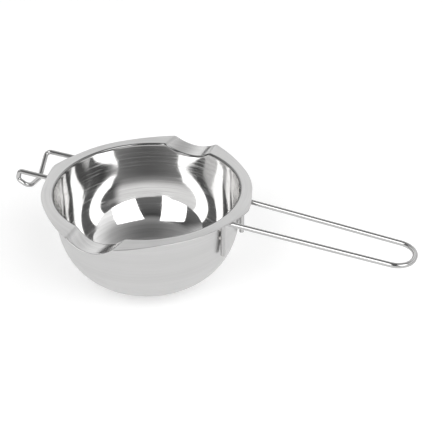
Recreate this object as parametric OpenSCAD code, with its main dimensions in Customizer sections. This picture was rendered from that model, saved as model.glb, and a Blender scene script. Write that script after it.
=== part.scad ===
// Candle melting pot: a pressed sheet-steel bowl with a flat flange and two pouring
// spouts, a long looped wire handle and a shorter bent wire hook.
// The pot hangs in a larger pan of hot water: the handle rests on one side of the
// pan's rim and the hook drops over the other side.
//
// Frame: millimetres, Z up. The origin is the centre of the underside of the bowl.
// The handle points along +X, the hook along -X, and the spouts face -Y and +Y.

/* [Bowl] */
// Diameter over the plain part of the flange
rim_d = 140; // [132:1:160]
// Outside diameter of the wall just below the flange
wall_d = 125; // [118:0.5:128]
// Height of the rim above the table
pot_h = 65; // [60:0.5:66]
// Depth at which the curve of the wall would close if it were not cut off flat
curve_depth = 67; // [67:0.5:80]
// Fullness of the wall curve: 2 is an ellipse, a higher number is squarer
curve_n = 3; // [2.4:0.1:3.4]
// Thickness of the pressed sheet
sheet_t = 0.6; // [0.5:0.1:1.0]
// Radius of the bend from the wall into the flange, on its upper side
edge_r = 1.2; // [1.1:0.1:2.5]

/* [Flange corners] */
// How far the flange stands out further where the handle and the hook leave it
ear = 3.2; // [0:0.1:5]
// Angle either side of the handle over which that corner fades out
ear_angle = 18; // [10:1:30]

/* [Spouts] */
// Width of a spout's mouth where it leaves the bowl
spout_w = 34; // [24:1:44]
// Depth of a spout below the rim, at the wall
spout_depth = 6.4; // [4:0.2:9]
// Rise of the spout's floor from the wall out to its lip, in degrees
spout_rise = 5; // [0:0.5:8]
// How far the lip stands out beyond the plain flange
lip_reach = 6; // [2:0.5:10]
// Angle either side of the spout at which the flange starts to widen
lip_angle = 46; // [35:1:60]
// Angle either side of the spout over which the lip keeps its full reach
lip_flat = 13; // [8:1:16]

/* [Wire] */
// Diameter of the handle and hook wire
wire_d = 3.3; // [2.5:0.1:4.5]
// Length of each leg, from the axis of the arm above it down to its cut end
leg_l = 25.4; // [18:0.2:32]
// Inside radius of the bend from a leg into its arm
leg_bend = 1.8; // [1:0.1:3]
// Diameter of the weld nuggets that hold the legs to the wall
weld_d = 4.6; // [3.8:0.1:6]

/* [Handle] */
// Distance from the pot's axis to the tip of the handle
handle_reach = 183; // [150:1:240]
// Distance between the axes of the two arms where they leave the wall
handle_w = 30.3; // [24:0.1:36]
// Distance between the axes of the two arms where the end loop starts
handle_tip_w = 24.4; // [18:0.1:30]
// Drop of the end loop below the height at which the arms leave the flange
handle_drop = 3; // [0:0.5:12]

/* [Hook] */
// Sideways place of the hook's arm on the +Y side
hook_back_y = 18.3; // [14:0.1:20]
// Sideways place of the hook's arm on the -Y side
hook_front_y = 13.7; // [12:0.1:18]
// Distance from the pot's axis to the corner of the back arm
hook_corner = 91.7; // [88:0.1:100]
// Depth of the hook's lower rung below its arms
hook_depth = 11; // [10:0.5:14]
// How far the open curl stands out beyond the lower rung
curl_out = 8.8; // [8:0.1:11]

/* [Hidden] */

$fn = 180;                 // fine facets for the preview; every round surface is a true one
rim_r = rim_d / 2;
wall_r = wall_d / 2;
wire_r = wire_d / 2;
fit_gap = 0.02;            // air between the wire and the sheet beside it, bridged by the welds
bore_r = wall_r - sheet_t + edge_r;         // where the flange bend ends and the flat begins
arm_z = pot_h - sheet_t - wire_r - fit_gap; // axis of the arms, just under the flange
leg_r = wall_r + wire_r + fit_gap;          // distance from the pot's axis to a leg's axis
bend_r = leg_bend + wire_r;
base_r = wall_r * pow(1 - pow(pot_h / curve_depth, curve_n), 1 / curve_n);
wall_steps = 24;
first_turn = 1;            // degrees: the straight top of the wall is one step
last_turn = acos(pow(base_r / wall_r, curve_n / 2));
spout_r = (pow(spout_w / 2, 2) + pow(spout_depth, 2)) / (2 * spout_depth);
spout_cut = [spout_w, 60]; // half the width and the length of the block that holds a spout
end_chamfer = 0.4;
collar_rise = 0.04;        // what the collars at the ends of a bend stand proud of the wire
collar_l = 0.5;
tip_flat = 0.5;            // half the straight across the tip of the handle's loop
weld_pitch = 6.5;          // between the two nuggets on a leg
weld_bite = 0.1;           // how deep a nugget is fused into the wall
weld_taper = 0.9;          // how much a nugget narrows between the wall and the wire
steel = [0.80, 0.80, 0.81];
wire_steel = [0.70, 0.70, 0.71];
weld_steel = [0.60, 0.58, 0.56];

// ---------- the bowl ----------

// A point on the outside of the wall, as [radius, height], for a turn of 0 to 90 degrees
function wall_point(turn) = [
    wall_r * pow(cos(turn), 2 / curve_n),
    pot_h - curve_depth * pow(sin(turn), 2 / curve_n)];

// The outward direction of the wall curve at a point on it
function wall_normal(p) =
    let (n = [pow(p.x / wall_r, curve_n - 1) / wall_r,
              -pow((pot_h - p.y) / curve_depth, curve_n - 1) / curve_depth])
    n / norm(n);

function wall_turn(i) = first_turn + (last_turn - first_turn) * i / wall_steps;

outer_wall = [for (i = [0:wall_steps]) wall_point(wall_turn(i))];
inner_wall = [for (i = [0:wall_steps - 1])
    let (p = wall_point(wall_turn(i))) p - sheet_t * wall_normal(p)];

// A quarter bend from the flange down into the wall, of the given radius
function edge_bend(r) = [for (a = [90:15:180]) [bore_r, pot_h - edge_r] + r * [cos(a), sin(a)]];

function reversed(list) = [for (i = [len(list) - 1:-1:0]) list[i]];

// The drawn bowl: base, wall and the bend into the flange
module drawn_shell() {
    rotate_extrude()
        polygon(concat(
            [[0, sheet_t]], [[base_r - sheet_t / 8, sheet_t]],
            reversed(inner_wall), reversed(edge_bend(edge_r)),
            edge_bend(edge_r - sheet_t), outer_wall, [[0, 0]]));
}

// Radius of the flange's trimmed edge at a compass angle
function flange_r(a) =
    let (from_spout = abs(abs(a) - 90),
         from_wire = min(abs(a), 180 - abs(a)),
         lip = min(1, max(0, (lip_angle - from_spout) / (lip_angle - lip_flat))),
         corner = max(0, 1 - from_wire / ear_angle))
    rim_r + lip_reach * lip * lip + ear * pow(corner, 1.2);

module flange_outline() {
    polygon([for (a = [-178:2:180]) flange_r(a) * [cos(a), sin(a)]]);
}

module flange() {
    translate([0, 0, pot_h - sheet_t])
        linear_extrude(sheet_t)
            difference() {
                flange_outline();
                circle(r = bore_r);
            }
}

// A round bar lying along the spout, whose underside is the spout's floor
module spout_bar(r) {
    translate([0, bore_r, pot_h - spout_depth])
        rotate([spout_rise, 0, 0])
            translate([0, -spout_cut.y / 2, spout_r])
                rotate([-90, 0, 0])
                    cylinder(r = r, h = spout_cut.y);
}

// The sheet of one spout: a trough from the wall out to the lip, no higher than the rim
module spout_sheet() {
    intersection() {
        difference() {
            spout_bar(spout_r + sheet_t);
            spout_bar(spout_r);
        }
        difference() {
            linear_extrude(pot_h) flange_outline();
            cylinder(r = wall_r - sheet_t, h = pot_h);
        }
        translate([-spout_cut.x, 0, 0]) cube([2 * spout_cut.x, 2 * rim_r, pot_h]);
    }
}

module bowl() {
    color(steel)
        union() {
            difference() {
                union() {
                    drawn_shell();
                    flange();
                }
                for (side = [0, 180])
                    rotate(side) spout_bar(spout_r + sheet_t / 2);
            }
            for (side = [0, 180])
                rotate(side) spout_sheet();
        }
}

// ---------- bent wire ----------

function unit(v) = v / norm(v);
function turn_at(p, i) = acos(unit(p[i] - p[i - 1]) * unit(p[i + 1] - p[i]));
// How much of each neighbouring straight a bend takes up
function bend_run(p, r, i) =
    (i == 0 || i == len(p) - 1) ? 0 : r[i] * tan(turn_at(p, i) / 2);

// A round bar from a to b, narrowed at either end by a chamfer where one is asked for
module rod(a, b, chamfer_a = 0, chamfer_b = 0) {
    d = b - a;
    l = norm(d);
    translate(a)
        rotate([0, acos(d.z / l), atan2(d.y, d.x)]) {
            if (chamfer_a > 0)
                cylinder(h = chamfer_a, r1 = wire_r - chamfer_a, r2 = wire_r);
            translate([0, 0, chamfer_a])
                cylinder(h = l - chamfer_a - chamfer_b, r = wire_r);
            if (chamfer_b > 0)
                translate([0, 0, l - chamfer_b])
                    cylinder(h = chamfer_b, r1 = wire_r, r2 = wire_r - chamfer_b);
        }
}

// One bend: starts at point s heading along direction d, and turns towards direction e
module elbow(s, d, e, r) {
    w = unit(e - d * (d * e));
    n = cross(d, w);
    c = s + r * w;
    multmatrix([[-w.x, d.x, n.x, c.x],
                [-w.y, d.y, n.y, c.y],
                [-w.z, d.z, n.z, c.z]])
        rotate_extrude(angle = acos(d * e))
            translate([r, 0]) circle(r = wire_r);
}

// A thin collar round the wire at p, so that a bend and its straight join as one solid
module collar(p, d) {
    translate(p)
        rotate([0, acos(d.z), atan2(d.y, d.x)])
            cylinder(r = wire_r + collar_rise, h = collar_l, center = true, $fn = 48);
}

// Wire through the corner points p, with a bend of radius r[i] at each inner corner
module bent_wire(p, r) {
    last = len(p) - 1;
    for (i = [0:last - 1]) {
        d = unit(p[i + 1] - p[i]);
        rod(p[i] + d * bend_run(p, r, i), p[i + 1] - d * bend_run(p, r, i + 1),
            i == 0 ? end_chamfer : 0, i == last - 1 ? end_chamfer : 0);
    }
    for (i = [1:last - 1]) {
        d = unit(p[i] - p[i - 1]);
        e = unit(p[i + 1] - p[i]);
        elbow(p[i] - d * bend_run(p, r, i), d, e, r[i]);
        collar(p[i] - d * bend_run(p, r, i), d);
        collar(p[i] + e * bend_run(p, r, i), e);
    }
}

// Where a leg stands: on the wall, at a sideways place y, on the side s (+1 or -1) of the pot
function leg_at(s, y, z) = [s * sqrt(leg_r * leg_r - y * y), y, z];

// Radius of the outside of the wall at a height
function wall_r_at(z) = wall_r * pow(1 - pow((pot_h - z) / curve_depth, curve_n), 1 / curve_n);

// Two weld nuggets on a leg: each bites into the wall and tapers towards the wire
module leg_welds(s, y) {
    foot = leg_at(s, y, arm_z - leg_l);
    difference() {
        for (k = [0, 1]) {
            z = arm_z - bend_r - weld_d / 2 - k * weld_pitch;
            rise = leg_r - wall_r_at(z) + weld_bite;
            translate([0, 0, z])
                rotate([0, 90, atan2(foot.y, foot.x)])
                    translate([0, 0, leg_r - rise])
                        cylinder(r1 = weld_d / 2, r2 = weld_d / 2 - weld_taper, h = rise);
        }
        translate(foot) cylinder(r = wire_r, h = leg_l);
    }
}

// ---------- the handle ----------

loop_r = handle_tip_w / 2;
tip_x = handle_reach - wire_r;
// The end loop is two quarter bends with a short straight between them at the tip
handle_path = [
    leg_at(1, -handle_w / 2, arm_z - leg_l), leg_at(1, -handle_w / 2, arm_z),
    [tip_x, -loop_r, arm_z - handle_drop], [tip_x, loop_r, arm_z - handle_drop],
    leg_at(1, handle_w / 2, arm_z), leg_at(1, handle_w / 2, arm_z - leg_l)];
handle_bends = [0, bend_r, loop_r - tip_flat, loop_r - tip_flat, bend_r, 0];

module handle_wire() {
    color(wire_steel) bent_wire(handle_path, handle_bends);
}

// ---------- the hook ----------

rung_x = hook_corner - 4.9;  // the slanting arm leans in by this much on its way down
curl_x = rung_x - 1.5 + curl_out;
hook_path = [
    leg_at(-1, hook_back_y, arm_z - leg_l), leg_at(-1, hook_back_y, arm_z),
    [-hook_corner, hook_back_y, arm_z],
    [-rung_x, -0.2, arm_z - hook_depth],
    [-rung_x + 1.5, -hook_front_y - 1.6, arm_z - hook_depth + 1],
    [-curl_x, -hook_front_y - 1.5, arm_z - hook_depth + 5.2],
    [-curl_x + 1.3, -hook_front_y, arm_z],
    leg_at(-1, -hook_front_y, arm_z), leg_at(-1, -hook_front_y, arm_z - leg_l)];
hook_bends = [0, bend_r, 3, 6, 4.2, 2.8, 2.6, bend_r, 0];

module hook_wire() {
    color(wire_steel) bent_wire(hook_path, hook_bends);
}

// ---------- the welds ----------

module handle_weld_front() { color(weld_steel) leg_welds(1, -handle_w / 2); }
module handle_weld_back() { color(weld_steel) leg_welds(1, handle_w / 2); }
module hook_weld_front() { color(weld_steel) leg_welds(-1, -hook_front_y); }
module hook_weld_back() { color(weld_steel) leg_welds(-1, hook_back_y); }

bowl();
handle_wire();
hook_wire();
handle_weld_front();
handle_weld_back();
hook_weld_front();
hook_weld_back();
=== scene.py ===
import logging
import math
from dataclasses import dataclass, field
from enum import Enum, IntEnum
from typing import Sequence

import bpy
import numpy as np
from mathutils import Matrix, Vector


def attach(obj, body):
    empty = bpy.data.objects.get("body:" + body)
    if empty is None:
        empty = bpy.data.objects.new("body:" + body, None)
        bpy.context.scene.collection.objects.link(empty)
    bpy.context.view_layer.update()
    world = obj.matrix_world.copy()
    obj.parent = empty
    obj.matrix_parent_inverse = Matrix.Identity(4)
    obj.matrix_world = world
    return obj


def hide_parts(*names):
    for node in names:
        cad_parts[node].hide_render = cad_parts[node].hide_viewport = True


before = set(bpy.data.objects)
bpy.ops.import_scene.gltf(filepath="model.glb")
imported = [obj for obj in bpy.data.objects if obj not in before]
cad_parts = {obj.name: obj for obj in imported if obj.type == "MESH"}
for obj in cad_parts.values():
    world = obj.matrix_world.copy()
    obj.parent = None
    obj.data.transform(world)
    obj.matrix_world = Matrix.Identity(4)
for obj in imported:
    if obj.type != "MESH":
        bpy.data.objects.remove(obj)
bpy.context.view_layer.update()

log = logging.getLogger("melting_pot")
MM = 0.001                  # the sizes below are in millimetres, the scene is in metres
BODY = "root"               # the pot has no moving parts, so every piece rides on this body
Array = np.ndarray
Face = tuple[int, ...]
Triple = tuple[float, float, float]


class RecordSlot(Enum):
    """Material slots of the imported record."""

    SHEET = "pressed_steel"
    WIRE = "drawn_wire"
    WELD = "weld_metal"


class BowlFace(IntEnum):
    """Parts of the bowl's surface that have a finish of their own."""

    BORE = 0
    FLANGE = 1
    WALL = 2
    # the bend's own finish is painted shade, a dark line along the crease, not a different steel
    BEND = 3


# ---------------------------------------------------------------- shader helpers


class Value:
    """A socket in a finish's node tree; on a number, the usual operators add Math nodes."""

    def __init__(self, tree: "FinishTree", socket: bpy.types.NodeSocket | None) -> None:
        """Wraps one output socket of the tree."""
        self.tree = tree
        self.socket = socket

    def _math(self, operation: str, first: "Value | float", second: "Value | float") -> "Value":
        """Adds one Math node and returns its result."""
        return self.tree.node("ShaderNodeMath", {"operation": operation}, {0: first, 1: second})

    def __add__(self, other: "Value | float") -> "Value":
        """self + other"""
        return self._math("ADD", self, other)

    __radd__ = __add__

    def __sub__(self, other: "Value | float") -> "Value":
        """self - other"""
        return self._math("SUBTRACT", self, other)

    def __rsub__(self, other: float) -> "Value":
        """other - self"""
        return self._math("SUBTRACT", other, self)

    def __mul__(self, other: "Value | float") -> "Value":
        """self * other"""
        return self._math("MULTIPLY", self, other)

    __rmul__ = __mul__

    def __truediv__(self, other: "Value | float") -> "Value":
        """self / other"""
        return self._math("DIVIDE", self, other)

    def __rtruediv__(self, other: float) -> "Value":
        """other / self"""
        return self._math("DIVIDE", other, self)

    def ramp(self, low: float, high: float) -> "Value":
        """Eases from 0 to 1 as the value goes from low to high.

        Args:
            low: value at which the result is 0.
            high: value at which the result is 1; it may be below low.

        Returns:
            The eased value.
        """
        return self.tree.node("ShaderNodeMapRange", {"interpolation_type": "SMOOTHSTEP"},
                              {0: self, 1: low, 2: high})


class FinishTree:
    """The node tree of one material or of the world."""

    def __init__(self, tree: bpy.types.NodeTree) -> None:
        """Takes over a node tree and empties it."""
        self.tree = tree
        tree.nodes.clear()

    def node(self, kind: str, settings: dict[str, object] | None = None,
             sockets: dict[int | str, object] | None = None, out: int | str = 0) -> Value:
        """Adds a node.

        Args:
            kind: Blender's name for the node type.
            settings: attributes of the node, set before its sockets.
            sockets: a value, or a Value to link, for each input by index or name.
            out: the output that is returned.

        Returns:
            The chosen output, or an empty Value if the node has none.
        """
        made = self.tree.nodes.new(kind)
        for key, setting in (settings or {}).items():
            if key == "stops":
                self._set_stops(made.color_ramp, setting)
            else:
                setattr(made, key, setting)
        for key, given in (sockets or {}).items():
            if isinstance(given, Value):
                self.tree.links.new(given.socket, made.inputs[key])
            else:
                made.inputs[key].default_value = given
        return Value(self, made.outputs[out] if made.outputs else None)

    @staticmethod
    def _set_stops(ramp: bpy.types.ColorRamp, stops: Sequence[tuple[float, float]]) -> None:
        """Sets the stops of a ramp of greys.

        Args:
            ramp: the ramp.
            stops: position and grey of each stop.
        """
        while len(ramp.elements) < len(stops):
            ramp.elements.new(1.0)
        for element, (place, level) in zip(ramp.elements, stops):
            element.position = place
            element.color = opaque(grey(level))

    def stretched(self, lay: Value, across: float, along: float) -> Value:
        """Scales the lay of a surface so that a noise on it draws out into lines.

        Args:
            lay: the lay vector, whose first part runs across the lines.
            across: how many times a millimetre the noise changes across the lines.
            along: how many times a millimetre it changes along them.

        Returns:
            The scaled vector.
        """
        return self.node("ShaderNodeVectorMath", {"operation": "MULTIPLY"},
                         {0: lay, 1: (across, along, along)})

    def noise(self, vector: Value, scale: float, detail: float, rough: float) -> Value:
        """A noise value of about 0.5 on average.

        Args:
            vector: where it is read.
            scale: its scale.
            detail: number of finer layers.
            rough: weight of the finer layers.

        Returns:
            The noise.
        """
        return self.node("ShaderNodeTexNoise", {"noise_dimensions": "3D"},
                         {"Vector": vector, "Scale": scale, "Detail": detail, "Roughness": rough})

    def tint(self, mask: Value, low: Triple, high: Triple) -> Value:
        """Mixes two colours by a mask.

        Args:
            mask: 0 gives low and 1 gives high.
            low: red, green and blue.
            high: red, green and blue.

        Returns:
            The mixed colour.
        """
        return self.node("ShaderNodeMix", {"data_type": "RGBA"},
                         {0: mask, 6: opaque(low), 7: opaque(high)}, out=2)


def grey(level: float, warm: float = 0.0) -> Triple:
    """A steel grey of that level, slightly warm or, below zero, slightly cold."""
    return (level * (1.0 + warm), level, level * (1.0 - warm))


def opaque(colour: Triple) -> tuple[float, float, float, float]:
    """A colour with full alpha."""
    return (*colour, 1.0)


FINE_GRAIN = (1.0, 3.0, 0.6)        # scale, finer layers and their weight, of a noise
BROAD_GRAIN = (1.0, 2.0, 0.5)
SCUFF_GRAIN = (1.0, 4.0, 0.7)
SMUDGE_GRAIN = (38.0, 3.0, 0.55)    # about 38 smudges to the metre
MEAN_NOISE = 0.5
LAY_TURN = 0.25                     # turns the stretched highlight along the tool lines


@dataclass(frozen=True)
class SteelFinish:
    """A bare steel finish: lines left by the tool, worn and smudged patches."""

    name: str
    dark: float                 # reflectance in the lines' valleys
    light: float                # reflectance on their crests
    roughness: float
    roughness_swing: float      # how much the lines and smudges change it
    anisotropy: float
    line_across: float          # lines per millimetre
    line_along: float           # changes per millimetre along a line
    bump_depth: float           # depth of the lines, in millimetres
    bump_across: float          # bumps per millimetre across the lines
    warm: float = 0.004
    scuffed: float = 0.0        # roughness that sparse scuffed lines add
    polished_below: float = 0.0     # height in millimetres below which the press burnished it
    polish_gain: float = 0.12       # how much the burnishing takes off the roughness
    polish_reach: float = 1.2       # height in millimetres over which it sets in
    fine_share: float = 0.6         # weight of the fine lines; broad ones take the rest
    broad_lines: tuple[float, float] = (0.22, 0.7)      # their scale against the fine ones
    line_contrast: tuple[float, float] = (0.34, 0.66)   # noise that counts as dark and as light
    smudge_edge: tuple[float, float] = (0.46, 0.72)     # noise where handling starts and is full
    smudge_share: float = 0.45      # its weight against the lines
    scuff_lines: tuple[float, float] = (0.8, 0.005)     # across and along, per millimetre
    scuff_edge: tuple[float, float] = (0.48, 0.68)
    scuff_patch: tuple[float, float] = (0.35, 0.6)

    def make(self) -> bpy.types.Material:
        """Builds the material.

        Returns:
            The material, ready to be assigned.
        """
        material = bpy.data.materials.new(self.name)
        material.use_nodes = True
        tree = FinishTree(material.node_tree)
        lay = tree.node("ShaderNodeAttribute", {"attribute_name": "lay"}, out="Vector")
        place = tree.node("ShaderNodeTexCoord", out="Object")
        lines = tree.noise(tree.stretched(lay, self.line_across, self.line_along), *FINE_GRAIN)
        coarser_across, coarser_along = self.broad_lines
        broad = tree.noise(tree.stretched(lay, self.line_across * coarser_across,
                                          self.line_along * coarser_along), *BROAD_GRAIN)
        smudge = tree.noise(place, *SMUDGE_GRAIN)
        streaks = lines * self.fine_share + broad * (1.0 - self.fine_share)
        colour = tree.tint(streaks.ramp(*self.line_contrast),
                           grey(self.dark, self.warm), grey(self.light, self.warm))
        worn = smudge.ramp(*self.smudge_edge)
        rough = ((lines - MEAN_NOISE) * self.roughness_swing
                 + worn * (self.roughness_swing * self.smudge_share))
        if self.polished_below:
            level = tree.node("ShaderNodeSeparateXYZ", None, {0: place}, out=2) / MM
            polished = level.ramp(self.polished_below, self.polished_below - self.polish_reach)
            rough = rough - polished * self.polish_gain
        if self.scuffed:
            sparse = tree.noise(tree.stretched(lay, *self.scuff_lines), *SCUFF_GRAIN)
            rough = rough + (sparse.ramp(*self.scuff_edge) * smudge.ramp(*self.scuff_patch)
                             * self.scuffed)
        ridge = tree.noise(tree.stretched(lay, self.bump_across, self.line_along), *BROAD_GRAIN)
        bump = tree.node("ShaderNodeBump", None,
                         {"Strength": 1.0, "Distance": self.bump_depth * MM, "Height": ridge})
        surface = tree.node("ShaderNodeBsdfPrincipled", None, {
            "Base Color": colour, "Metallic": 1.0, "Roughness": rough + self.roughness,
            "Anisotropic": self.anisotropy, "Anisotropic Rotation": LAY_TURN, "Normal": bump})
        tree.node("ShaderNodeOutputMaterial", None, {"Surface": surface})
        return material


POLISHED_BORE = SteelFinish(
    "polished_bore", dark=0.69, light=0.79, roughness=0.055, roughness_swing=0.05,
    anisotropy=0.35, line_across=2.2, line_along=0.018, bump_depth=0.0026, bump_across=0.9,
    scuffed=0.13)
SATIN_FLANGE = SteelFinish(
    "satin_flange", dark=0.54, light=0.62, roughness=0.32, roughness_swing=0.12,
    anisotropy=0.45, line_across=2.6, line_along=0.03, bump_depth=0.006, bump_across=1.4,
    polished_below=64.2)
SATIN_WALL = SteelFinish(
    "satin_wall", dark=0.545, light=0.585, roughness=0.34, roughness_swing=0.08,
    anisotropy=0.45, line_across=1.4, line_along=0.012, bump_depth=0.002, bump_across=0.8)
# Painted shade: the upper side of the bend from the wall into the flange is the same steel given a
# far lower reflectance, so a dark line of shade shows along the crease.
BEND_PAINTED_SHADE = SteelFinish(
    "bend_painted_shade", dark=0.20, light=0.34, roughness=0.10, roughness_swing=0.08,
    anisotropy=0.35, line_across=2.2, line_along=0.02, bump_depth=0.002, bump_across=0.9)
DRAWN_WIRE = SteelFinish(
    "drawn_steel_wire", dark=0.43, light=0.53, roughness=0.12, roughness_swing=0.06,
    anisotropy=0.3, line_across=3.0, line_along=0.05, bump_depth=0.002, bump_across=2.0)
WELD_METAL = SteelFinish(
    "weld_nugget_metal", dark=0.42, light=0.56, roughness=0.38, roughness_swing=0.14,
    anisotropy=0.0, line_across=1.4, line_along=0.9, bump_depth=0.05, bump_across=1.2,
    warm=0.03)
BOWL_FINISHES = {BowlFace.BORE: POLISHED_BORE, BowlFace.FLANGE: SATIN_FLANGE,
                 BowlFace.WALL: SATIN_WALL, BowlFace.BEND: BEND_PAINTED_SHADE}


# ---------------------------------------------------------------- mesh helpers


def make_piece(name: str, points: Array, faces: list[Face], lay: Array,
               materials: Sequence[bpy.types.Material], face_material: Sequence[int] | None = None
               ) -> bpy.types.Object:
    """Makes a smooth-shaded mesh object.

    Args:
        name: the piece's name.
        points: corner places in millimetres, one row each.
        faces: corner numbers of each face.
        lay: for each corner, its place across and along the tool lines, in millimetres.
        materials: the finishes of the piece.
        face_material: which finish each face takes; the first if not given.

    Returns:
        The object, linked to the scene.
    """
    mesh = bpy.data.meshes.new(name)
    mesh.from_pydata((points * MM).tolist(), [], faces)
    attribute = mesh.attributes.new("lay", "FLOAT_VECTOR", "POINT")
    attribute.data.foreach_set("vector", np.asarray(lay, np.float32).ravel())
    for material in materials:
        mesh.materials.append(material)
    if face_material is not None:
        mesh.polygons.foreach_set("material_index", np.asarray(face_material, np.int32))
    mesh.polygons.foreach_set("use_smooth", np.ones(len(faces), bool))
    mesh.validate()
    mesh.update()
    piece = bpy.data.objects.new(name, mesh)
    bpy.context.scene.collection.objects.link(piece)
    return piece


def settle(piece: bpy.types.Object, nodes: Sequence[str]) -> None:
    """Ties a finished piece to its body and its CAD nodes.

    Args:
        piece: the piece.
        nodes: the CAD nodes that it stands for.
    """
    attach(piece, BODY)
    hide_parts(*nodes)
    log.info("%s: %d faces, stands for %s", piece.name, len(piece.data.polygons), ", ".join(nodes))


def unit(v: Array) -> Array:
    """The vector made one long, or each row of a table of vectors."""
    return v / np.linalg.norm(v, axis=-1, keepdims=True)


def turn(count: int) -> Array:
    """Angles of that many equal steps round a full turn, in radians."""
    return np.linspace(0, 2 * math.pi, count, endpoint=False)


def run_along(line: Array) -> Array:
    """Distance run along a line at each of its points."""
    return np.concatenate([[0], np.cumsum(np.linalg.norm(np.diff(line, axis=0), axis=1))])


def strip(first: int, second: int, count: int) -> list[Face]:
    """The faces between two closed rings of corners.

    Args:
        first: number of the first corner of one ring.
        second: number of the first corner of the other ring.
        count: corners in a ring.

    Returns:
        One four-sided face for each step round the rings.
    """
    return [(first + j, first + (j + 1) % count, second + (j + 1) % count, second + j)
            for j in range(count)]


def back_strip(first: int, second: int, count: int) -> list[Face]:
    """The same as strip, facing the other way."""
    return [(first + j, second + j, second + (j + 1) % count, first + (j + 1) % count)
            for j in range(count)]


# ---------------------------------------------------------------- the bowl


@dataclass
class BowlSheet:
    """The pressed bowl: flat base, curved wall, flange and two pouring spouts."""

    wall_r: float = 62.5            # outside of the wall just below the flange
    rim_r: float = 70.0             # edge of the plain part of the flange
    height: float = 65.0
    curve_depth: float = 67.0       # depth at which the wall's curve would close
    curve_n: float = 3.0            # fullness of the curve; 2 would be an ellipse
    sheet: float = 0.6
    edge_r: float = 1.2             # upper side of the bend from the wall into the flange
    ear: float = 3.2                # how far the flange stands out further at the wires
    ear_angle: float = 18.0         # degrees over which that corner fades out
    ear_power: float = 1.2
    spout_half: float = 17.0        # half the width of a spout's mouth
    spout_depth: float = 6.4
    spout_rise: float = 5.0         # slope of a spout's floor, in degrees
    lip_reach: float = 6.0          # how far a spout's lip stands out past the flange
    lip_angle: float = 46.0         # degrees from a spout at which the flange starts to widen
    lip_flat: float = 13.0          # degrees over which the lip keeps its full reach
    shoulder_soft: float = 1.1      # height over which a spout's shoulder is rounded
    base_flat: float = 27.3         # radius of the flat middle of the base
    base_blend_z: float = 7.0       # height at which the rounding into the base ends
    draw_heights: tuple[float, ...] = (6, 12, 20, 30, 40, 50, 58, 65)
    draw_offsets: tuple[float, ...] = (-0.32, -0.28, -0.10, 0.11, 0.12, 0.0, 0.0, 0.0)
    draw_degree: int = 6
    steady_z: float = 46.0          # below this the rows of the mesh are level
    corner_drop: float = 1.0        # depth at which the wall's radius sets the bend's
    settle_run: float = 0.8         # distance over which the flange levels off past the bend
    outside_lay: float = 400.0      # keeps the lines outside apart from those inside
    spout_angle: float = 90.0       # compass angle of the spouts, on both sides
    column_steps: tuple[float, float] = (1.25, 0.4)     # degrees, plain and at a spout
    spout_columns: float = 22.0     # degrees either side of a spout with the finer step
    rows: dict[str, int] = field(default_factory=lambda: {
        "base": 7, "blend": 9, "wall": 44, "top_wall": 16, "bend": 6, "flange": 16, "edge": 5})

    def __post_init__(self) -> None:
        """Fits a smooth curve to how far the drawn wall strays from its plain curve."""
        self.stray = np.polynomial.Polynomial.fit(self.draw_heights, self.draw_offsets,
                                                  self.draw_degree)

    def flange_edge(self, angle: float) -> float:
        """Radius of the flange's trimmed edge.

        Args:
            angle: compass angle in degrees.

        Returns:
            The radius there.
        """
        from_spout = abs(abs(angle) - self.spout_angle)
        from_wire = min(abs(angle), 180.0 - abs(angle))
        lip = min(max((self.lip_angle - from_spout) / (self.lip_angle - self.lip_flat), 0.0), 1.0)
        corner = max(1.0 - from_wire / self.ear_angle, 0.0)
        return self.rim_r + self.lip_reach * lip ** 2 + self.ear * corner ** self.ear_power

    def wall_radius(self, z: Array | float) -> Array | float:
        """Radius of the middle of the sheet in the wall.

        Args:
            z: one height or more.

        Returns:
            The radius at each height.
        """
        half = self.sheet / 2
        drop = (self.height - z) / (self.curve_depth - half)
        plain = (self.wall_r - half) * (1.0 - drop ** self.curve_n) ** (1.0 / self.curve_n)
        return plain + self.stray(z)

    def top_height(self, r: Array, angle: float) -> Array:
        """Height of the middle of the sheet outside the wall: flange or spout.

        Args:
            r: radii.
            angle: compass angle in degrees.

        Returns:
            The height at each radius.
        """
        half = self.sheet / 2
        flat = np.full_like(r, self.height - half)
        spout_r = (self.spout_half ** 2 + self.spout_depth ** 2) / (2 * self.spout_depth)
        bar_r = spout_r + half
        widest = bar_r * 0.98                       # short of where the trough's side is upright
        x = np.abs(r * math.cos(math.radians(angle)))
        out = np.abs(r * math.sin(math.radians(angle)))
        rise = math.radians(self.spout_rise)
        start = self.wall_r - self.sheet + self.edge_r
        dip = spout_r - np.sqrt(bar_r ** 2 - np.minimum(x, widest) ** 2)
        trough = (self.height - self.spout_depth
                  + (dip + (out - start) * math.sin(rise)) / math.cos(rise))
        trough = np.where(x < widest, trough, self.height + 2 * self.shoulder_soft)
        soft = np.clip(self.shoulder_soft - np.abs(flat - trough), 0, None) / self.shoulder_soft
        return np.minimum(flat, trough) - soft ** 2 * self.shoulder_soft / 4

    def lower_profile(self) -> Array:
        """Middle of the sheet from the centre of the base up to the steady height.

        Returns:
            Radius and height of each row.
        """
        half = self.sheet / 2
        z = self.base_blend_z
        step, samples = 1e-3, 2000
        wall = np.array([self.wall_radius(z), z])
        lean = unit(np.array([self.wall_radius(z + step) - wall[0], step]))
        corner = wall - lean * (z - half) / lean[1]
        start = np.array([self.base_flat, half])
        base = np.column_stack([np.linspace(0, start[0], self.rows["base"], endpoint=False),
                                np.full(self.rows["base"], half)])
        t = np.linspace(0, 1, self.rows["blend"], endpoint=False)[:, None]
        blend = (1 - t) ** 2 * start + 2 * t * (1 - t) * corner + t ** 2 * wall
        fine_z = np.linspace(z, self.steady_z, samples)
        fine = np.column_stack([self.wall_radius(fine_z), fine_z])
        run = run_along(fine)
        wanted = np.linspace(0, run[-1], self.rows["wall"], endpoint=False)
        rise = np.column_stack([np.interp(wanted, run, fine[:, 0]),
                                np.interp(wanted, run, fine[:, 1])])
        return np.vstack([base, blend, rise])

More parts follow.
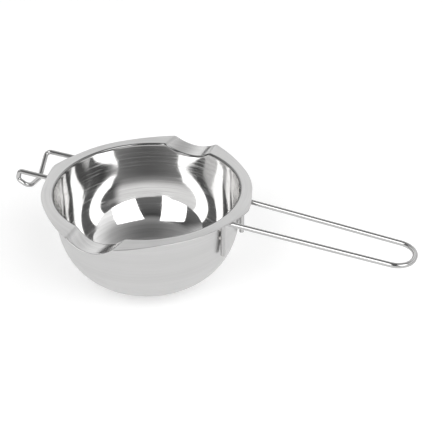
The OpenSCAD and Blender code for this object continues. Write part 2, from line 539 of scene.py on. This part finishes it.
    def upper_profile(self, angle: float) -> Array:
        """Middle of the sheet from the steady height out to the trimmed edge.

        Args:
            angle: compass angle in degrees.

        Returns:
            Radius and height of each row.
        """
        corner_r = self.wall_radius(self.height - self.corner_drop)
        step = 0.3
        here = self.top_height(np.array([corner_r, corner_r + step]), angle)
        along = unit(np.array([step, here[1] - here[0]]))
        bent = math.acos(along[1])
        radius = self.edge_r - self.sheet / 2
        run = radius * math.tan(bent / 2)
        z = np.linspace(self.steady_z, here[0] - run, self.rows["top_wall"], endpoint=False)
        wall = np.column_stack([self.wall_radius(z), z])
        a = np.linspace(0, bent, self.rows["bend"])
        bend = np.array([corner_r + radius, here[0] - run]) + radius * np.column_stack(
            [-np.cos(a), np.sin(a)])
        edge = self.flange_edge(angle) - self.sheet / 2
        share = np.linspace(0, 1, self.rows["flange"] + 1)[1:]
        r = bend[-1, 0] + (edge - bend[-1, 0]) * share
        gap = bend[-1, 1] - self.top_height(bend[-1:, 0], angle)[0]
        top = self.top_height(r, angle) + gap * np.exp(-(r - bend[-1, 0]) / self.settle_run)
        return np.vstack([wall, bend, np.column_stack([r, top])])

    def angles(self) -> Array:
        """Spaces the mesh's columns, closer together at the spouts.

        Returns:
            The columns' compass angles in degrees.
        """
        coarse, fine = self.column_steps
        first, last = self.spout_angle - self.spout_columns, self.spout_angle + self.spout_columns
        half = np.concatenate([np.arange(-first, first, coarse), np.arange(first, last, fine)])
        return np.concatenate([half, half + 180.0])

    def skin(self, angles: Array) -> tuple[Array, Array, int]:
        """Both sides of the sheet and its rounded edge, as rings of corners.

        Args:
            angles: compass angles of the columns, in degrees.

        Returns:
            The corners, ending with the two centres of the base; their places across and along
            the tool lines; and the number of rings.
        """
        lower = self.lower_profile()
        wrapped = (angles + 180.0) % 360.0 - 180.0
        grid = np.array([np.vstack([lower, self.upper_profile(a)]) for a in wrapped])
        c, s = np.cos(np.radians(angles)), np.sin(np.radians(angles))
        middle = np.stack([grid[..., 0] * c[:, None], grid[..., 0] * s[:, None], grid[..., 1]], -1)
        along = np.gradient(middle, axis=1)
        around = np.roll(middle, -1, 0) - np.roll(middle, 1, 0)
        around[:, 0] = np.stack([-s, c, 0 * s], -1)
        along[:, 0] = np.stack([c, s, 0 * s], -1)
        normal = unit(np.cross(along, around))
        out = unit(along[:, -1])
        run = np.array([run_along(column) for column in grid])
        half = self.sheet / 2
        beta = np.linspace(0, math.pi, self.rows["edge"] + 2)[1:-1]
        up, down = range(1, middle.shape[1]), range(middle.shape[1] - 1, 0, -1)
        rings = [middle[:, i] + half * normal[:, i] for i in up]
        rings += [middle[:, -1] + half * (math.cos(b) * normal[:, -1] + math.sin(b) * out)
                  for b in beta]
        rings += [middle[:, i] - half * normal[:, i] for i in down]
        across = [run[:, i] for i in up]
        across += [run[:, -1] + half * b for b in beta]
        across += [run[:, i] + self.outside_lay for i in down]
        points = np.vstack([*rings, [[0, 0, self.sheet]], [[0, 0, 0]]])
        points[:, 2] = np.clip(points[:, 2], 0.0, self.height)
        lay = np.column_stack([np.concatenate([*across, [0.0, self.outside_lay]]),
                               points[:, 0], points[:, 1]])
        return points, lay, len(rings)

    def region(self, row: int, ring_count: int) -> BowlFace:
        """Which part of the surface a row of faces belongs to.

        Args:
            row: the row, counted from the middle of the base outward and back underneath.
            ring_count: number of rings.

        Returns:
            The part.
        """
        wall_top = sum(self.rows[name] for name in ("base", "blend", "wall", "top_wall"))
        bend_end = wall_top + self.rows["bend"] - 2
        if row < wall_top - 1:
            return BowlFace.BORE
        if row < bend_end:
            return BowlFace.BEND
        return BowlFace.FLANGE if row < ring_count - bend_end else BowlFace.WALL

    def build(self, finishes: dict[BowlFace, SteelFinish]) -> bpy.types.Object:
        """Builds the bowl.

        Args:
            finishes: the finish of each part of its surface.

        Returns:
            The bowl.
        """
        angles = self.angles()
        points, lay, ring_count = self.skin(angles)
        n = len(angles)
        top, bottom = len(points) - 2, len(points) - 1
        last = (ring_count - 1) * n
        faces: list[Face] = [(top, j, (j + 1) % n) for j in range(n)]
        regions = [BowlFace.BORE] * n
        for row in range(ring_count - 1):
            faces += back_strip(row * n, (row + 1) * n, n)
            regions += [self.region(row, ring_count)] * n
        faces += [(bottom, last + (j + 1) % n, last + j) for j in range(n)]
        regions += [BowlFace.WALL] * n
        materials = [finishes[face].make() for face in BowlFace]
        piece = make_piece("bowl_sheet", points, faces, lay, materials, regions)
        settle(piece, ["bowl"])
        return piece


# ---------------------------------------------------------------- the wires


@dataclass
class BentWire:
    """Round wire bent through corner points, with its cut ends dressed."""

    name: str
    node: str
    corners: list[Triple]
    bends: list[float]              # radius of the axis at each corner
    wire_r: float = 1.65
    end_round: float = 0.4
    end_steps: tuple[float, ...] = (0.05, 35.0, 65.0)   # degrees round the dressed edge
    sides: int = 28
    straight_step: float = 4.0
    turn_step: float = 5.0          # degrees of bend between rings

    def centre_line(self) -> tuple[Array, Array]:
        """Runs the wire's axis through its corners, with an arc at each.

        Returns:
            Places along the axis, and the direction at each.
        """
        corners = np.array(self.corners, float)
        points: list[Array] = []
        heads: list[Array] = []
        at = corners[0]
        for i in range(1, len(corners)):
            d = unit(corners[i] - corners[i - 1])
            if i < len(corners) - 1:
                e = unit(corners[i + 1] - corners[i])
                bent = math.acos(float(np.clip(d @ e, -1, 1)))
                cut = self.bends[i] * math.tan(bent / 2)
            else:
                cut = 0.0
            end = corners[i] - d * cut
            count = max(2, int(np.linalg.norm(end - at) / self.straight_step))
            for t in np.linspace(0, 1, count + 1)[(1 if points else 0):]:
                points.append(at + (end - at) * t)
                heads.append(d)
            if cut:
                w = unit(e - d * (d @ e))
                centre = end + self.bends[i] * w
                steps = max(3, int(math.degrees(bent) / self.turn_step))
                for a in np.linspace(0, bent, steps + 1)[1:]:
                    points.append(centre + self.bends[i] * (d * math.sin(a) - w * math.cos(a)))
                    heads.append(d * math.cos(a) + w * math.sin(a))
                at = points[-1]
        return np.array(points), np.array(heads)

    def dressed_end(self, angle: float) -> tuple[float, float]:
        """A step round the dressed edge of a cut end.

        Args:
            angle: how far round the edge, in degrees.

        Returns:
            Depth from the cut face, and radius of the wire there.
        """
        a = math.radians(angle)
        depth = self.end_round * (1 - math.cos(a)) if angle > 1 else 0.0
        return depth, self.wire_r - self.end_round * (1 - math.sin(a))

    def build(self, material: bpy.types.Material) -> bpy.types.Object:
        """Builds the wire.

        Args:
            material: its finish.

        Returns:
            The wire.
        """
        line, heads = self.centre_line()
        side = unit(np.cross(heads[0], [0.0, 1.0, 0.2]))
        frames = []
        for head in heads:                       # carried along without twisting
            side = unit(side - head * (side @ head))
            frames.append((side, np.cross(head, side)))
        run = run_along(line)
        phi = turn(self.sides)
        rings: list[Array] = []
        lay: list[Array] = []

        def ring(centre: Array, index: int, radius: float, along: float) -> None:
            """Adds one ring of corners.

            Args:
                centre: its centre.
                index: point of the line whose directions it takes.
                radius: its radius.
                along: distance run along the wire.
            """
            a, b = frames[index]
            rings.append(centre + radius * (np.cos(phi)[:, None] * a + np.sin(phi)[:, None] * b))
            lay.append(np.column_stack([self.wire_r * phi, np.full(self.sides, along), 0 * phi]))

        for angle in self.end_steps:
            depth, radius = self.dressed_end(angle)
            ring(line[0] + heads[0] * depth, 0, radius, 0.0)
        ring(line[0] + heads[0] * self.end_round, 0, self.wire_r, self.end_round)
        for i in range(1, len(line) - 1):
            ring(line[i], i, self.wire_r, run[i])
        ring(line[-1] - heads[-1] * self.end_round, -1, self.wire_r, run[-1] - self.end_round)
        for angle in reversed(self.end_steps):
            depth, radius = self.dressed_end(angle)
            ring(line[-1] - heads[-1] * depth, -1, radius, run[-1])
        points = np.vstack([*rings, [line[0]], [line[-1]]])
        table = np.vstack([*lay, [[0, 0, 0]], [[0, run[-1], 0]]])
        n = self.sides
        faces: list[Face] = []
        for i in range(len(rings) - 1):
            faces += strip(i * n, (i + 1) * n, n)
        first, second, last = len(points) - 2, len(points) - 1, (len(rings) - 1) * n
        faces += [(first, (j + 1) % n, j) for j in range(n)]
        faces += [(second, last + j, last + (j + 1) % n) for j in range(n)]
        piece = make_piece(self.name, points, faces, table, [material])
        settle(piece, [self.node])
        return piece


@dataclass
class PotWires:
    """The handle, the hook and the weld nuggets that hold their legs."""

    arm_z: float = 62.73            # axis of the arms, just under the flange
    leg_circle: float = 64.17       # radius on which the legs stand
    leg_l: float = 25.4
    bend_r: float = 3.45
    handle_half: float = 15.15
    tip_x: float = 181.35
    loop_r: float = 12.2
    tip_flat: float = 0.5
    handle_drop: float = 3.0
    hook_back: float = 18.3
    hook_front: float = 13.7
    hook_corner: float = 91.7
    rung_x: float = 86.8
    curl_x: float = 94.1
    hook_depth: float = 11.0
    rung_y: float = -0.2            # where the slanting arm comes down to the rung
    rung_end: Triple = (1.5, -1.6, 1.0)     # past the rung, under the front arm
    curl_foot: Triple = (0.0, -1.5, 5.2)    # past the curl's reach, under the front arm
    curl_lean: float = 1.3          # how far the curl leans in on its way up to that arm
    hook_bends: tuple[float, ...] = (3.0, 6.0, 4.2, 2.8, 2.6)

    def leg_at(self, side: int, y: float, z: float) -> Triple:
        """A place on a leg's axis, on the +X or -X side of the pot."""
        return (side * math.sqrt(self.leg_circle ** 2 - y * y), y, z)

    def handle(self) -> BentWire:
        """Lays out the long looped handle.

        Returns:
            The wire, not yet built.
        """
        y, top, foot = self.handle_half, self.arm_z, self.arm_z - self.leg_l
        tip = top - self.handle_drop
        loop = self.loop_r - self.tip_flat
        return BentWire("handle_rod", "handle_wire", [
            self.leg_at(1, -y, foot), self.leg_at(1, -y, top),
            (self.tip_x, -self.loop_r, tip), (self.tip_x, self.loop_r, tip),
            self.leg_at(1, y, top), self.leg_at(1, y, foot)],
            [0, self.bend_r, loop, loop, self.bend_r, 0])

    def hook(self) -> BentWire:
        """Lays out the short hook with its lower rung and open curl.

        Returns:
            The wire, not yet built.
        """
        top, foot, low = self.arm_z, self.arm_z - self.leg_l, self.arm_z - self.hook_depth
        back, front = self.hook_back, -self.hook_front
        return BentWire("hook_rod", "hook_wire", [
            self.leg_at(-1, back, foot), self.leg_at(-1, back, top),
            (-self.hook_corner, back, top),
            (-self.rung_x, self.rung_y, low),
            tuple(np.add((-self.rung_x, front, low), self.rung_end)),
            tuple(np.add((-self.curl_x, front, low), self.curl_foot)),
            (-self.curl_x + self.curl_lean, front, top),
            self.leg_at(-1, front, top), self.leg_at(-1, front, foot)],
            [0, self.bend_r, *self.hook_bends, self.bend_r, 0])

    def build(self, wire: bpy.types.Material, weld: bpy.types.Material, bowl: BowlSheet) -> None:
        """Builds both wires and the four pairs of nuggets.

        Args:
            wire: finish of the wires.
            weld: finish of the nuggets.
            bowl: the bowl that they stand on.
        """
        self.handle().build(wire)
        self.hook().build(wire)
        legs = {"handle_weld_front": (1, -self.handle_half),
                "handle_weld_back": (1, self.handle_half),
                "hook_weld_front": (-1, -self.hook_front),
                "hook_weld_back": (-1, self.hook_back)}
        for number, (node, (side, y)) in enumerate(legs.items()):
            WeldPair(node, side, y, number).build(self, bowl, weld)


@dataclass
class WeldPair:
    """The two weld nuggets between one leg and the wall."""

    node: str
    side: int
    y: float
    number: int
    foot_r: float = 1.9
    neck_r: float = 1.2
    top_gap: float = 2.3            # from the end of the leg's bend down to the upper nugget
    pitch: float = 6.5
    bite: float = 0.08              # depth of the foot in the wall
    reach: float = 0.35             # depth of the neck in the wire, past its axis
    flare_power: float = 2.2
    lobes: tuple[tuple[int, float], ...] = ((3, 0.05), (5, 0.03))   # bulges, and their depth
    sides: int = 30
    rows: int = 9
    first_seed: int = 700

    def nugget(self, z: float, wires: PotWires, bowl: BowlSheet, rng: np.random.Generator
               ) -> list[Array]:
        """One nugget, flared at its foot.

        Args:
            z: its height.
            wires: the wires, for the place of the leg.
            bowl: the bowl, for the slope of the wall.
            rng: source of its uneven outline.

        Returns:
            Its rings of corners, from the wall to the wire.
        """
        out = unit(np.array(wires.leg_at(self.side, self.y, 0.0)))
        across = np.array([-out[1], out[0], 0.0])
        up = np.array([0.0, 0.0, 1.0])
        phi = turn(self.sides)
        near = bowl.wall_radius(z) + bowl.sheet / 2 - self.bite
        far = wires.leg_circle + self.reach
        wobble = sum(depth * np.sin(phi * count + rng.uniform(0, 6))
                     for count, depth in self.lobes)
        rings = []
        for t in np.linspace(0, 1, self.rows):
            flare = self.neck_r + (self.foot_r - self.neck_r) * (1 - t) ** self.flare_power
            radius = flare * (1 + wobble * (1 - t))
            rings.append(out * (near + (far - near) * t) + up * z + radius[:, None]
                         * (np.cos(phi)[:, None] * across + np.sin(phi)[:, None] * up))
        return rings

    def build(self, wires: PotWires, bowl: BowlSheet, material: bpy.types.Material
              ) -> bpy.types.Object:
        """Builds the pair.

        Args:
            wires: the wires, for the place of the leg.
            bowl: the bowl, for the slope of the wall.
            material: finish of the nuggets.

        Returns:
            The pair as one piece.
        """
        rng = np.random.default_rng(self.first_seed + self.number)
        n, phi = self.sides, turn(self.sides)
        points: list[Array] = []
        lay: list[Array] = []
        faces: list[Face] = []
        for k in range(2):
            z = wires.arm_z - wires.bend_r - self.top_gap - k * self.pitch
            first = len(points)
            for t, ring in zip(np.linspace(0, 1, self.rows), self.nugget(z, wires, bowl, rng)):
                points.extend(ring)
                lay.extend(np.column_stack([phi * self.foot_r, 0 * phi + t * 2, 0 * phi + k]))
            for i in range(self.rows - 1):
                faces += strip(first + i * n, first + (i + 1) * n, n)
            faces.append(tuple(first + j for j in reversed(range(n))))
            faces.append(tuple(first + (self.rows - 1) * n + j for j in range(n)))
        name = self.node.replace("weld", "nuggets")
        piece = make_piece(name, np.array(points), faces, np.array(lay), [material])
        settle(piece, [self.node])
        return piece


# ---------------------------------------------------------------- the studio


def stage_mesh(name: str, points: Sequence[Sequence[float]], faces: list[Face], shader: str,
               sockets: dict[int | str, object]) -> bpy.types.Object:
    """Makes a plain studio object in one flat material.

    Args:
        name: name of the object and its material.
        points: its corners, in metres.
        faces: corner numbers of each face.
        shader: Blender's name for the shader node.
        sockets: the shader's values.

    Returns:
        The object, linked and marked as part of the stage.
    """
    mesh = bpy.data.meshes.new(name)
    mesh.from_pydata([tuple(p) for p in points], [], faces)
    material = bpy.data.materials.new(name)
    material.use_nodes = True
    tree = FinishTree(material.node_tree)
    tree.node("ShaderNodeOutputMaterial", None, {"Surface": tree.node(shader, None, sockets)})
    mesh.materials.append(material)
    made = bpy.data.objects.new(name, mesh)
    bpy.context.scene.collection.objects.link(made)
    return made


@dataclass(frozen=True)
class Softbox:
    """A flat soft light: the directions of its corners from the pot, in degrees."""

    name: str
    corners: tuple[tuple[float, float], ...]       # (azimuth, elevation) of each corner
    radiance: float = 2.8
    distance: float = 3.2                          # metres

    def build(self, aim: Vector) -> None:
        """Adds the light.

        Args:
            aim: the point that its corners are seen from, in metres.
        """
        points = []
        for azimuth, elevation in self.corners:
            a, e = math.radians(azimuth), math.radians(elevation)
            points.append(aim + self.distance * Vector(
                (math.cos(a) * math.cos(e), math.sin(a) * math.cos(e), math.sin(e))))
        panel = stage_mesh(self.name, points, [(0, 1, 2, 3)], "ShaderNodeEmission",
                           {"Color": opaque(grey(1.0)), "Strength": self.radiance})
        panel.visible_camera = False


@dataclass(frozen=True)
class BlackFlags:
    """A low dark band all round the set, which gives polished steel its dark edges."""

    radius: float = 3.6         # metres
    low: float = 0.16
    high: float = 0.72
    sides: int = 64
    level: float = 0.04

    def build(self) -> None:
        """Adds the band, which is seen only in the polished steel."""
        points = [(self.radius * math.cos(t), self.radius * math.sin(t), z)
                  for z in (self.low, self.high) for t in turn(self.sides)]
        band = stage_mesh("black_flags", points, strip(0, self.sides, self.sides),
                          "ShaderNodeBsdfPrincipled",
                          {"Base Color": opaque(grey(self.level)), "Roughness": 1.0,
                           "Specular IOR Level": 0.0})
        band.visible_camera = False
        band.visible_diffuse = False
        band.visible_shadow = False


@dataclass(frozen=True)
class PaleFloor:
    """The round pale floor, lit a little from within to keep it even."""

    radius: float = 2.2         # metres
    level: float = 0.80
    glow: float = 0.32
    spokes: int = 72
    rings: int = 12

    def build(self) -> None:
        """Adds the floor."""
        points = [(0.0, 0.0, 0.0)] + [
            (self.radius * k / self.rings * math.cos(t),
             self.radius * k / self.rings * math.sin(t), 0.0)
            for k in range(1, self.rings + 1) for t in turn(self.spokes)]
        faces: list[Face] = [(0, 1 + j, 1 + (j + 1) % self.spokes) for j in range(self.spokes)]
        for k in range(self.rings - 1):
            faces += back_strip(1 + k * self.spokes, 1 + (k + 1) * self.spokes, self.spokes)
        stage_mesh("studio_floor", points, faces, "ShaderNodeBsdfPrincipled",
                   {"Base Color": opaque(grey(self.level)), "Roughness": 0.9,
                    "Specular IOR Level": 0.1, "Emission Color": opaque(grey(1.0)),
                    "Emission Strength": self.glow})


@dataclass
class Studio:
    """The camera, the pale floor, two softboxes and the room around them."""

    eye: Triple = (258.496, -449.175, 370.757)
    aim: Triple = (46.517, 17.261, 40.0)
    lens: float = 73.05
    light_aim: Triple = (0.0, 0.0, 0.05)         # metres
    bounces: int = 16                           # light bounces many times inside the bowl
    glossy_bounces: int = 14
    softboxes: tuple[Softbox, ...] = (
        Softbox("softbox_left", ((-91.0, 67.0), (-135.0, 49.5), (-113.0, 10.5), (-79.5, 10.5))),
        Softbox("softbox_right", ((9.4, 52.5), (-49.0, 63.0), (-42.0, 11.0), (-9.5, 11.0))))
    room_stops: tuple[tuple[float, float], ...] = (     # upward part of the direction, grey
        (0.0, 0.50), (0.34, 0.60), (0.485, 0.58), (0.60, 0.50), (0.707, 0.38), (0.80, 0.24),
        (0.90, 0.16), (1.0, 0.08))
    room_gain: float = 2.0
    front_shade: float = 0.86       # how much darker the room is before the pot
    front_side: tuple[float, float] = (0.05, 0.45)      # forward part of the direction
    front_floor: tuple[float, float] = (0.22, 0.34)     # upward part where that starts
    front_ceiling: tuple[float, float] = (0.80, 0.93)   # and where it ends
    left_gain: float = 0.35         # how much lighter the ceiling is to the left
    left_side: tuple[float, float] = (0.1, 0.8)
    left_ceiling: tuple[float, float] = (0.93, 1.0)

    def camera(self) -> None:
        """Adds the camera."""
        data = bpy.data.cameras.new("camera")
        data.lens, data.sensor_width = self.lens, 36.0
        data.clip_start, data.clip_end = 0.01, 100.0
        holder = bpy.data.objects.new("camera", data)
        eye, aim = Vector(self.eye) * MM, Vector(self.aim) * MM
        holder.location = eye
        holder.rotation_mode = "QUATERNION"
        holder.rotation_quaternion = (aim - eye).to_track_quat("-Z", "Y")
        bpy.context.scene.collection.objects.link(holder)
        bpy.context.scene.camera = holder

    def room(self) -> None:
        """Sets the soft grey room: light at floor level, darker above and before the pot."""
        world = bpy.data.worlds.new("room")
        bpy.context.scene.world = world
        world.use_nodes = True
        tree = FinishTree(world.node_tree)
        toward = tree.node("ShaderNodeTexCoord", out="Generated")
        x, y, z = (tree.node("ShaderNodeSeparateXYZ", None, {0: toward}, out=k) for k in range(3))
        height = tree.node("ShaderNodeValToRGB", {"stops": self.room_stops}, {0: z})
        front = ((y * -1.0).ramp(*self.front_side) * z.ramp(*self.front_floor)
                 * (1.0 - z.ramp(*self.front_ceiling)))
        left = (x * -1.0).ramp(*self.left_side) * z.ramp(*self.left_ceiling)
        level = (height * self.room_gain * (1.0 - front * self.front_shade)
                 + left * self.left_gain)
        shade = tree.node("ShaderNodeBackground", None,
                          {"Color": opaque(grey(1.0)), "Strength": level})
        tree.node("ShaderNodeOutputWorld", None, {"Surface": shade})

    def build(self) -> None:
        """Adds the camera, the floor, the room and the lights."""
        scene = bpy.context.scene
        scene.view_settings.view_transform = "Standard"
        scene.cycles.max_bounces = self.bounces
        scene.cycles.glossy_bounces = self.glossy_bounces
        self.camera()
        PaleFloor().build()
        self.room()
        BlackFlags().build()
        for box in self.softboxes:
            box.build(Vector(self.light_aim))
        log.info("studio: %d softboxes", len(self.softboxes))


def main() -> None:
    """Builds the studio and every piece of the pot."""
    logging.basicConfig(level=logging.INFO, format="%(name)s: %(message)s")
    Studio().build()
    bowl = BowlSheet()
    bowl.build(BOWL_FINISHES)
    PotWires().build(DRAWN_WIRE.make(), WELD_METAL.make(), bowl)


if __name__ == "__main__":
    main()
